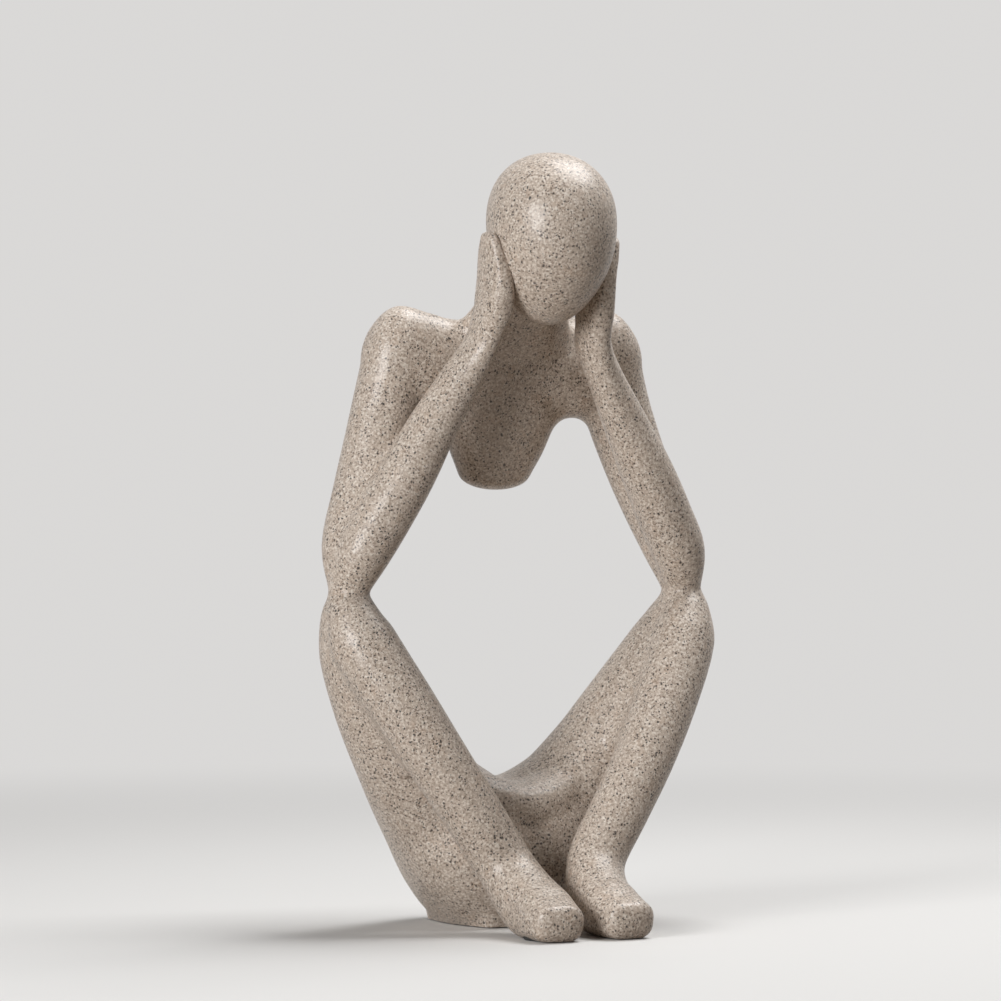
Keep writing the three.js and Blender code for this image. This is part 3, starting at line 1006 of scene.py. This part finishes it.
    def shin(self, side: Side, elbow: Elbow) -> Loft:
        """Shape the shin and its foot.

        Args:
            side: The side of the figure.
            elbow: The waist where the leg starts.

        Returns:
            The loft, from the knee down to the toes.
        """
        bows = side.bows(self.shin_bow_out, self.shin_bow_back)
        ankle = self.ankle(side)
        sections = elbow.limb(side, 1.0, ankle, self.shin_rows, self.shin_deep, self.shin_wide, *bows)
        bows = (ACROSS * (-side.value * self.instep_in), UP * -self.instep_sag)
        sections += limb(ankle, self.toe(side), self.foot_rows, self.foot_tall, self.foot_wide, *bows)
        return Loft(sections, ACROSS, 0.0, self.toe_round)

    def seam(self, side: Side) -> Seam:
        """The glue line between the seat and a leg."""
        front = self.heel_front - self.seam_past
        return Seam.upright(side, self.joint_out, front, self.seam_bottom, self.seam_top)

    def heel_seam(self) -> Seam:
        """Lay the glue line between the heels and the front of the seat.

        Returns:
            The glue line.
        """
        reach = self.joint_out + self.seam_past
        low = Vector((-reach, self.heel_front - self.heel_room, self.seam_bottom))
        high = Vector((reach, self.heel_front + self.heel_room, self.seam_top))
        return Seam(BACK * self.heel_front, BACK, low, high)

    def base(self) -> Seam:
        """The flat on which the seat and the feet are ground."""
        return Seam.level(self.base_up, bottom=-60.0, top=90.0)


class Bench:
    """Adds nodes to one material or world and wires them."""

    def __init__(self, owner: Material | World) -> None:
        """Start with the owner's own shader, and find the coordinates of the piece.

        Args:
            owner: The material or the world.
        """
        solid = isinstance(owner, Material)
        owner.use_nodes = True
        self.owner = owner
        self.tree = owner.node_tree
        self.shader = self.tree.nodes["Principled BSDF" if solid else "Background"]
        self.output = self.tree.nodes["Material Output" if solid else "World Output"]
        self.place = self.add("ShaderNodeTexCoord", {}).outputs["Object"]

    def put(self, socket: NodeSocket, value: Any) -> None:
        """Set a socket to a value, or wire another socket into it.

        Args:
            socket: The socket.
            value: The value or the other socket.
        """
        if isinstance(value, NodeSocket):
            self.tree.links.new(value, socket)
        else:
            socket.default_value = value

    def add(self, kind: str, inputs: dict[Any, Any], **settings: Any) -> Node:
        """Add a node.

        Args:
            kind: The node's type.
            inputs: A value or another socket for each of its inputs, by name or number.
            settings: The node's own settings.

        Returns:
            The node.
        """
        node = self.tree.nodes.new(kind)
        for key, value in settings.items():
            setattr(node, key, value)
        for key, value in inputs.items():
            self.put(node.inputs[key], value)
        return node

    def noise(self, place: Any, size: float, detail: float, roughness: float = 0.5) -> Node:
        """Spread a cloudy noise with forms of about a size in millimetres."""
        inputs = {"Vector": place, "Scale": 1.0 / (size * MM), "Detail": detail, "Roughness": roughness}
        return self.add("ShaderNodeTexNoise", inputs)

    def ramp(self, value: NodeSocket, low: float, high: float) -> NodeSocket:
        """Turn a value smoothly into a share.

        Args:
            value: The value.
            low: Where the share is 0.
            high: Where the share is 1.

        Returns:
            The share.
        """
        inputs = {"Value": value, "From Min": low, "From Max": high}
        node = self.add("ShaderNodeMapRange", inputs, interpolation_type="SMOOTHSTEP")
        return node.outputs["Result"]

    def spread(
        self, value: Any, low: float, high: float, start: float = 0.0, end: float = 1.0
    ) -> NodeSocket:
        """Turn a value between a start and an end evenly into one between two limits."""
        inputs = {"Value": value, "From Min": start, "From Max": end, "To Min": low, "To Max": high}
        return self.add("ShaderNodeMapRange", inputs).outputs["Result"]

    def math(self, what: str, left: Any, right: Any) -> NodeSocket:
        """Work one sum."""
        return self.add("ShaderNodeMath", {0: left, 1: right}, operation=what).outputs[0]

    def mix(self, share: Any, under: Any, over: Any) -> NodeSocket:
        """Lay one colour over another by a share."""
        inputs = {"Factor": share, 6: under, 7: over}
        return self.add("ShaderNodeMix", inputs, data_type="RGBA").outputs[2]

    def bump(self, height: Any, strength: float, depth: float, under: Any = None) -> NodeSocket:
        """Raise the surface by a height.

        Args:
            height: The height, from 0 to 1.
            strength: How much of it shows.
            depth: What a height of 1 stands for, in millimetres.
            under: The normal of the bumps underneath, or None.

        Returns:
            The normal.
        """
        inputs = {"Strength": strength, "Distance": depth * MM, "Height": height}
        if under is not None:
            inputs["Normal"] = under
        return self.add("ShaderNodeBump", inputs).outputs[0]

    def veil(self, share: NodeSocket, shader: str, colour: Colour) -> None:
        """Lay a shader of one plain colour over the own one.

        Args:
            share: How much of it shows.
            shader: Its node's type.
            colour: Its colour.
        """
        plain = self.add(shader, {"Color": colour})
        mix = self.add("ShaderNodeMixShader", {0: share, 1: self.shader.outputs[0], 2: plain.outputs[0]})
        self.put(self.output.inputs["Surface"], mix.outputs[0])

    def dress(self, inputs: dict[str, Any]) -> Material | World:
        """Set the own shader's inputs.

        Args:
            inputs: A value or a socket for each input, by name.

        Returns:
            The material or the world.
        """
        for key, value in inputs.items():
            self.put(self.shader.inputs[key], value)
        return self.owner


@dataclass(frozen=True)
class Tint:
    """A colour that a noise lays on: the values where it starts and where it is full, and its strength."""

    tone: Colour
    start: float
    full: float
    strength: float


@dataclass(frozen=True)
class Flecks:
    """Flecks of one colour: their spacing in millimetres, radii as shares of it, and strength."""

    tone: Colour
    spacing: float
    small: float
    large: float
    strength: float


@dataclass(frozen=True)
class SandstoneResin:
    """Satin resin packed with sand: fine grains, brown flecks, near-black specks, pale and warm patches."""

    base: Colour = (0.535, 0.445, 0.37, 1.0)
    blush: Tint = Tint((0.55, 0.4, 0.29, 1.0), 0.52, 0.75, 0.45)
    bright: Tint = Tint((0.83, 0.765, 0.69, 1.0), 0.5, 0.66, 0.65)
    shade: Tint = Tint((0.285, 0.225, 0.178, 1.0), 0.48, 0.34, 0.7)
    pale: Flecks = Flecks((0.83, 0.765, 0.69, 1.0), 0.95, 0.24, 0.46, 0.6)
    brown: Flecks = Flecks((0.13, 0.085, 0.06, 1.0), 0.855, 0.2, 0.42, 0.7)
    dark: Flecks = Flecks((0.03, 0.023, 0.02, 1.0), 1.0, 0.18, 0.42, 0.92)
    rim: Pair = (-0.04, 0.08)
    pale_missing: float = 0.45
    crowd_missing: Pair = (0.62, 0.2)
    crowd_cloud: Pair = (0.3, 0.7)
    grain_size: float = 0.85
    ragged_size: float = 0.8
    ragged_shift: float = 1.1
    cloud_size: float = 11.0
    blush_size: float = 6.0
    swell_size: float = 9.0
    swell: Pair = (0.35, 1.0)
    pits: Pair = (0.12, 0.12)
    roughness: Pair = (0.3, 0.45)
    specular: float = 0.5

    def noise(self, bench: Bench, place: Any, size: float, detail: float = 2.0) -> NodeSocket:
        """Spread a rather rough noise with forms of about a size in millimetres."""
        return bench.noise(place, size, detail, roughness=0.6).outputs["Fac"]

    def bent(self, bench: Bench) -> NodeSocket:
        """Bend the coordinates a little, so that nothing scattered in them is quite round.

        Args:
            bench: The material's bench.

        Returns:
            The bent coordinates.
        """
        ragged = bench.noise(bench.place, self.ragged_size, detail=2.0)
        centre = {0: ragged.outputs["Color"], 1: (0.5, 0.5, 0.5)}
        push = bench.add("ShaderNodeVectorMath", centre, operation="SUBTRACT").outputs[0]
        shift = {0: push, 1: (self.ragged_shift * MM,) * 3, 2: bench.place}
        return bench.add("ShaderNodeVectorMath", shift, operation="MULTIPLY_ADD").outputs[0]

    def scatter(self, bench: Bench, place: Any, flecks: Flecks, missing: Any) -> NodeSocket:
        """Scatter flecks of mixed sizes.

        Args:
            bench: The material's bench.
            place: The coordinates to scatter in.
            flecks: The kind of flecks.
            missing: The share of flecks that are left out.

        Returns:
            A socket with 1 inside a fleck and 0 outside.
        """
        scale = 1.0 / (flecks.spacing * MM)
        cells = bench.add("ShaderNodeTexVoronoi", {"Vector": place, "Scale": scale})
        pick = bench.add("ShaderNodeSeparateColor", {"Color": cells.outputs["Color"]})
        radius = bench.spread(pick.outputs[1], flecks.small, flecks.large)
        kept = bench.math("GREATER_THAN", pick.outputs[0], missing)
        inside = bench.math("SUBTRACT", radius, cells.outputs["Distance"])
        return bench.math("MULTIPLY", bench.ramp(inside, *self.rim), kept)

    def colour(self, bench: Bench, grain: Any) -> NodeSocket:
        """Lay the grains over one another, from the sand to the dark specks.

        Args:
            bench: The material's bench.
            grain: The noise of the finest sand.

        Returns:
            The colour.
        """
        bent = self.bent(bench)
        cloud = self.noise(bench, bench.place, self.cloud_size, detail=3.0)
        blush = self.noise(bench, bent, self.blush_size, detail=3.0)
        crowd = bench.spread(cloud, *self.crowd_missing, *self.crowd_cloud)
        layers: list[tuple[NodeSocket, Tint | Flecks]] = []
        for value, tint in ((blush, self.blush), (grain, self.bright), (grain, self.shade)):
            layers.append((bench.ramp(value, tint.start, tint.full), tint))
        for flecks, missing in ((self.pale, self.pale_missing), (self.brown, crowd), (self.dark, crowd)):
            layers.append((self.scatter(bench, bent, flecks, missing), flecks))
        colour: Any = self.base
        for share, layer in layers:
            colour = bench.mix(bench.math("MULTIPLY", share, layer.strength), colour, layer.tone)
        return colour

    def material(self) -> Material:
        """Make the material.

        Returns:
            The material.
        """
        bench = Bench(bpy.data.materials.new("sandstone_resin"))
        grain = self.noise(bench, bench.place, self.grain_size)
        swell = bench.bump(self.noise(bench, bench.place, self.swell_size), *self.swell)
        inputs = {
            "Base Color": self.colour(bench, grain),
            "Roughness": bench.spread(grain, *self.roughness),
            "Normal": bench.bump(grain, *self.pits, swell),
            "Specular IOR Level": self.specular,
        }
        return bench.dress(inputs)


@dataclass(frozen=True)
class GroundSteel:
    """Centreless-ground dowel steel with fine marks."""

    colour: Colour = (0.42, 0.42, 0.43, 1.0)
    roughness: Pair = (0.2, 0.4)
    mark_size: float = 0.4

    def material(self) -> Material:
        """Make the material.

        Returns:
            The material.
        """
        bench = Bench(bpy.data.materials.new("ground_steel"))
        marks = bench.noise(bench.place, self.mark_size, detail=3.0)
        rough = bench.spread(marks.outputs["Fac"], *self.roughness)
        return bench.dress({"Base Color": self.colour, "Roughness": rough, "Metallic": 1.0})


@dataclass(frozen=True)
class MouldedRubber:
    """Matte black rubber with a fine moulded grain and a little dust."""

    colour: Colour = (0.02, 0.02, 0.02, 1.0)
    dust: Tint = Tint((0.075, 0.072, 0.068, 1.0), 0.45, 0.8, 0.7)
    dust_size: float = 1.0 / 0.24
    grain_size: float = 1.0 / 2.6
    grain: Pair = (0.4, 0.1)
    roughness: Pair = (0.55, 0.85)

    def material(self) -> Material:
        """Make the material.

        Returns:
            The material.
        """
        bench = Bench(bpy.data.materials.new("moulded_rubber"))
        grain = bench.noise(bench.place, self.grain_size, detail=2.0).outputs["Fac"]
        dust = bench.noise(bench.place, self.dust_size, detail=4.0).outputs["Fac"]
        lying = bench.ramp(dust, self.dust.start, self.dust.full)
        share = bench.math("MULTIPLY", lying, self.dust.strength)
        inputs = {
            "Base Color": bench.mix(share, self.colour, self.dust.tone),
            "Normal": bench.bump(grain, *self.grain),
            "Roughness": bench.spread(dust, *self.roughness),
        }
        return bench.dress(inputs)


class Figure:
    """The whole figure: its sub-assemblies, their melted skin and the castings cut from it."""

    def __init__(self) -> None:
        """Set up the sub-assemblies at their sizes."""
        self.head = Head()
        self.elbow = Elbow()
        self.torso = Torso()
        self.arm = Arm()
        self.leg = Leg()
        self.melt = Melt()
        self.stone = SandstoneResin().material()

    def chest_skin(self) -> Mesh:
        """Melt the chest and the upper arms, without the neck.

        Returns:
            The skin.
        """
        uppers = [self.arm.upper(side, self.elbow, self.torso) for side in Side]
        lofts = [self.torso.yoke(), self.torso.tongue()] + uppers
        return self.melt.fused(lofts, "chest", fillet=5.5)

    def torso_skin(self) -> Mesh:
        """Melt the skin that the torso is cut from, with its neck and without forearms."""
        neck = self.melt.fused([self.torso.neck(self.head)], "neck")
        return self.melt.joined([self.chest_skin(), neck], "torso_skin", fillet=4.0)

    def thigh_skin(self) -> Mesh:
        """Melt both thighs and the saddle between them, without shins.

        Returns:
            The skin.
        """
        thighs = [self.leg.thigh(side, self.elbow) for side in Side]
        lofts = [self.leg.pelvis(), self.leg.ridge()] + thighs
        return self.melt.fused(lofts, "thighs", fillet=4.5)

    def limb_skin(self) -> Mesh:
        """Melt the skin that the arms and the legs are cut from.

        Returns:
            The skin.
        """
        skins = [self.chest_skin()]
        for side in Side:
            upper = self.arm.upper(side, self.elbow, self.torso)
            fore = self.arm.fore(side, self.elbow, self.head)
            thigh = self.leg.thigh(side, self.elbow)
            shin = self.leg.shin(side, self.elbow)
            crook = [upper.part(ELBOW_SECTIONS), fore.part(ELBOW_SECTIONS)]
            skins.append(self.melt.fused(crook, "elbow_crook", fillet=3.0))
            crook = [thigh.part(KNEE_SECTIONS), shin.part(KNEE_SECTIONS)]
            skins.append(self.melt.fused(crook, "knee_crook", fillet=5.0))
            skins.append(self.melt.fused([fore, shin], f"{side.word}_limbs"))
        skins.append(self.thigh_skin())
        return self.melt.joined(skins, "limb_skin")

    def castings(self) -> dict[str, Mesh]:
        """Cut the skins on the glue lines.

        Returns:
            The closed mesh of each casting, by its node's name.
        """
        shoulders = [self.torso.seam(side) for side in Side]
        hips = [self.leg.seam(side) for side in Side]
        seams = shoulders + hips + [self.leg.heel_seam(), self.elbow.seam(), self.leg.base()]
        limbs = ("right_arm", "left_arm", "right_leg", "left_leg")
        found = self.parted(self.torso_skin(), shoulders + [self.elbow.seam()], ("torso",))
        seat = self.melt.joined([self.thigh_skin()], "seat_skin")
        found.update(self.parted(seat, hips + [self.leg.base()], ("seat",)))
        found.update(self.parted(self.limb_skin(), seams, limbs))
        return found

    def place_of(self, faces: list[BMFace]) -> str:
        """Name a loose part by where it lies.

        Args:
            faces: The part's faces.

        Returns:
            Its casting's node, or under for what is ground off.
        """
        total = Vector((0.0, 0.0, 0.0))
        for face in faces:
            total += face.calc_center_median()
        middle = total / len(faces) / MM
        if middle.z < self.leg.base_up:
            return "under"
        above = middle.z > self.elbow.up
        if abs(middle.x) < MIDDLE_REACH:
            return "torso" if above else "seat"
        side = Side.RIGHT if middle.x < 0.0 else Side.LEFT
        return f"{side.word}_{'arm' if above else 'leg'}"

    def parted(
        self, skin: Mesh, seams: list[Seam], wanted: tuple[str, ...]
    ) -> dict[str, Mesh]:
        """Cut a skin and keep the parts that are wanted.

        Args:
            skin: The skin, which is removed.
            seams: The glue lines to cut on.
            wanted: The names of the parts to keep.

        Returns:
            The kept parts by name.
        """
        whole = bmesh.new()
        whole.from_mesh(skin)
        bpy.data.meshes.remove(skin)
        for seam in seams:
            seam.cut(whole)
        kept = {}
        for part in islands(whole):
            name = self.place_of(part)
            LOG.info("part %s with %d faces", name, len(part))
            if name in wanted:
                own = {face.index for face in part}
                piece = whole.copy()
                others = [face for number, face in enumerate(piece.faces) if number not in own]
                bmesh.ops.delete(piece, geom=others, context="FACES")
                kept[name] = finished_mesh(piece, name)
        whole.free()
        return kept

    def piece(self, name: str, mesh: Mesh) -> None:
        """Dress one casting and put it in its node's place.

        Args:
            name: The node's name.
            mesh: The casting's mesh.
        """
        made = dressed(f"{name}_casting", mesh, self.stone)
        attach(made, "root")
        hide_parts(name)

    def pins(self) -> dict[str, list[Dowel]]:
        """Place the pins between the castings.

        Returns:
            The pins that go into each casting, by its node's name.
        """
        chest = self.torso.chest()
        down = (chest - self.head.middle).normalized()
        reach = 1.0 / math.hypot(down.y * 2.0 / self.head.depth, down.z / self.head.chin_drop)
        nape = Dowel(self.head.middle + down * reach, -down, diameter=6.0, length=26.0)
        pins = {"head": [nape], "torso": [nape], "seat": []}
        shift = BACK * self.leg.pin_shift
        for side in Side:
            at = chest.lerp(self.torso.shoulder(side), self.torso.joint_out / self.torso.shoulder_out)
            shoulder = Dowel(at, ACROSS, diameter=6.0, length=24.0)
            elbow = Dowel(self.elbow.middle(side), UP, diameter=5.0, length=28.0)
            at = self.leg.seat_middle().lerp(self.leg.hip(side), self.leg.joint_out / self.leg.hip_out)
            hips = [Dowel(place, ACROSS, diameter=6.0, length=22.0) for place in (at - shift, at + shift)]
            pins["torso"].append(shoulder)
            pins["seat"] += hips
            pins[f"{side.word}_arm"] = [shoulder, elbow]
            pins[f"{side.word}_leg"] = hips + [elbow]
        return pins

    def pads(self) -> dict[str, Pad]:
        """Place the pads under the seat and the feet.

        Returns:
            The pad of each casting that has one, by the casting's node.
        """
        wide = 2.0 * (self.leg.joint_out - self.leg.seat_pad_inset)
        pads = {"seat": Pad("seat_pad", self.leg.seat_middle(), wide, self.leg.seat_deep / 2.0)}
        for side in Side:
            ankle = self.leg.ankle(side)
            run = self.leg.toe(side) - ankle
            middle = ankle + run * self.leg.foot_pad_share
            wide = self.leg.foot_wide - self.leg.foot_pad_inset
            long = math.hypot(run.x, run.y) / 2.0
            turn = math.atan2(-run.x, run.y)
            pads[f"{side.word}_leg"] = Pad(f"{side.word}_foot_pad", middle, wide, long, turn)
        return pads

    def build(self) -> None:
        """Make all castings with their bores and recesses, and all pads, and dress the dowels."""
        parts = {"head": self.head.egg()}
        parts.update(self.castings())
        pins = self.pins()
        pads = self.pads()
        for name, mesh in parts.items():
            cutters = [pin.bore() for pin in pins[name]]
            if name in pads:
                cutters.insert(0, pads[name].recess())
            if name == "torso" or name.endswith("arm"):
                cutters.insert(0, self.head.egg(self.head.room))
            self.piece(name, carved(mesh, cutters))
        rubber = MouldedRubber().material()
        for pad in pads.values():
            pad.piece(rubber)
        steel = GroundSteel().material()
        for name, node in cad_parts.items():
            if name.endswith("_dowel"):
                node.material_slots[0].material = steel


@dataclass(frozen=True)
class Lamp:
    """A soft square lamp: where it hangs, the length of its side in metres and its power in watts."""

    name: str
    at: Vector
    size: float
    power: float

    def hang(self, aim: Vector) -> None:
        """Hang the lamp.

        Args:
            aim: The place that it points at.
        """
        light = bpy.data.lights.new(self.name, "AREA")
        light.size = self.size
        light.energy = self.power
        made = placed(self.name, light)
        made.location = self.at
        made.rotation_euler = (aim - self.at).to_track_quat("-Z", "Y").to_euler()


@dataclass
class Studio:
    """A plain pale floor, soft lamps and the camera, in metres."""

    floor_colour: Colour = (0.8, 0.79, 0.775, 1.0)
    floor_bounce: Colour = (0.24, 0.2, 0.165, 1.0)
    floor_roughness: float = 0.8
    floor_reach: float = 6.0
    backdrop: Colour = (0.7, 0.69, 0.68, 1.0)
    white: Colour = (1.0, 1.0, 1.0, 1.0)
    ambient: float = 0.02
    fade: Pair = (0.3, 0.95)
    chest: Vector = Vector((0.0, 0.0, 0.16))
    top_lamp: Lamp = Lamp("top_lamp", Vector((0.42, 0.02, 1.14)), 0.75, 13.5)
    front_lamp: Lamp = Lamp("front_lamp", Vector((-1.25, -0.62, 0.42)), 0.6, 15.5)
    lens: float = 156.66
    sensor: float = 36.0
    sight: float = 30.0
    stand: Vector = Vector((-0.6513, -1.3139, 0.1439))
    turn: float = -26.0

    def seen(self, bench: Bench) -> NodeSocket:
        """Tell the rays that show a background from those that light the figure.

        Args:
            bench: The bench of what is seen.

        Returns:
            A socket with 1 for the rays that show it.
        """
        path = bench.add("ShaderNodeLightPath", {})
        rays = path.outputs["Is Camera Ray"]
        for kind in ("Is Glossy Ray", "Is Transmission Ray"):
            rays = bench.math("MAXIMUM", rays, path.outputs[kind])
        return rays

    def floor(self) -> None:
        """Lay the floor, which fades into the backdrop away from the figure."""
        bm = bmesh.new()
        bmesh.ops.create_grid(bm, x_segments=2, y_segments=2, size=self.floor_reach)
        made = placed("floor", finished_mesh(bm, "floor"))
        bench = Bench(bpy.data.materials.new("pale_floor"))
        seen = self.seen(bench)
        colour = bench.mix(seen, self.floor_bounce, self.floor_colour)
        made.data.materials.append(bench.dress({"Base Color": colour, "Roughness": self.floor_roughness}))
        reach = bench.add("ShaderNodeVectorMath", {0: bench.place}, operation="LENGTH").outputs["Value"]
        away = bench.math("MULTIPLY", bench.ramp(reach, *self.fade), seen)
        bench.veil(away, "ShaderNodeEmission", self.backdrop)

    def sky(self) -> None:
        """Light all round evenly, and show a pale backdrop behind the figure."""
        bench = Bench(bpy.data.worlds.new("studio"))
        bpy.context.scene.world = bench.dress({"Color": self.white, "Strength": self.ambient})
        bench.veil(self.seen(bench), "ShaderNodeBackground", self.backdrop)

    def camera(self) -> None:
        """Set up the camera where the photo was taken from."""
        lens = bpy.data.cameras.new("camera")
        lens.lens = self.lens
        lens.sensor_width = self.sensor
        lens.clip_end = self.sight
        camera = placed("camera", lens)
        camera.location = self.stand
        camera.rotation_euler = (math.pi / 2.0, 0.0, math.radians(self.turn))
        bpy.context.scene.camera = camera

    def build(self) -> None:
        """Set up the floor, the lamps, the sky and the camera."""
        self.floor()
        self.top_lamp.hang(self.chest)
        self.front_lamp.hang(self.chest)
        self.sky()
        bpy.context.scene.view_settings.view_transform = "Standard"
        self.camera()


def main() -> None:
    """Build the studio and the figure."""
    logging.basicConfig(level=logging.INFO, format="%(name)s: %(message)s")
    Studio().build()
    Figure().build()


if __name__ == "__main__":
    main()
